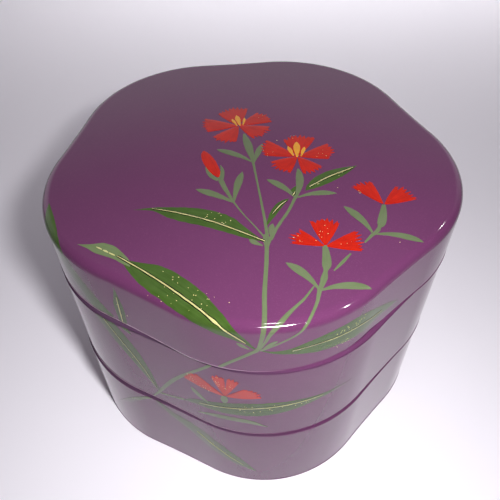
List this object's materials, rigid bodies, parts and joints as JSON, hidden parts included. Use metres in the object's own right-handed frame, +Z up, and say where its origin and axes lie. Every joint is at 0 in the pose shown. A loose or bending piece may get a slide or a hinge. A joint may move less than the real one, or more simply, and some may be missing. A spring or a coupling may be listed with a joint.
{
  "type": "two-tier lacquer box",
  "caption": "Stacking lacquer box with a lift-off lid, five-sided with round corners, in glossy purple painted with red pinks.",
  "frame": {"origin": "middle of the bounding box on the plane that the foot of the lower tier stands on", "axes": "+Z up through the stack, -Y towards a corner of the upper tier, +X to the right of it"},
  "size_m": [0.1262, 0.1252, 0.0941],
  "materials": {
    "lid_lacquer": "purple lacquer, polished to a mirror gloss, with painted red pinks and green leaves",
    "upper_tier_lacquer": "purple lacquer, polished to a mirror gloss, with painted red pinks and green leaves",
    "lower_tier_lacquer": "purple lacquer, polished to a mirror gloss, with painted green leaves"
  },
  "bodies": {
    "root": {"lid": "lid_lacquer", "upper_tier": "upper_tier_lacquer", "lower_tier": "lower_tier_lacquer"}
  },
  "joints": []
}
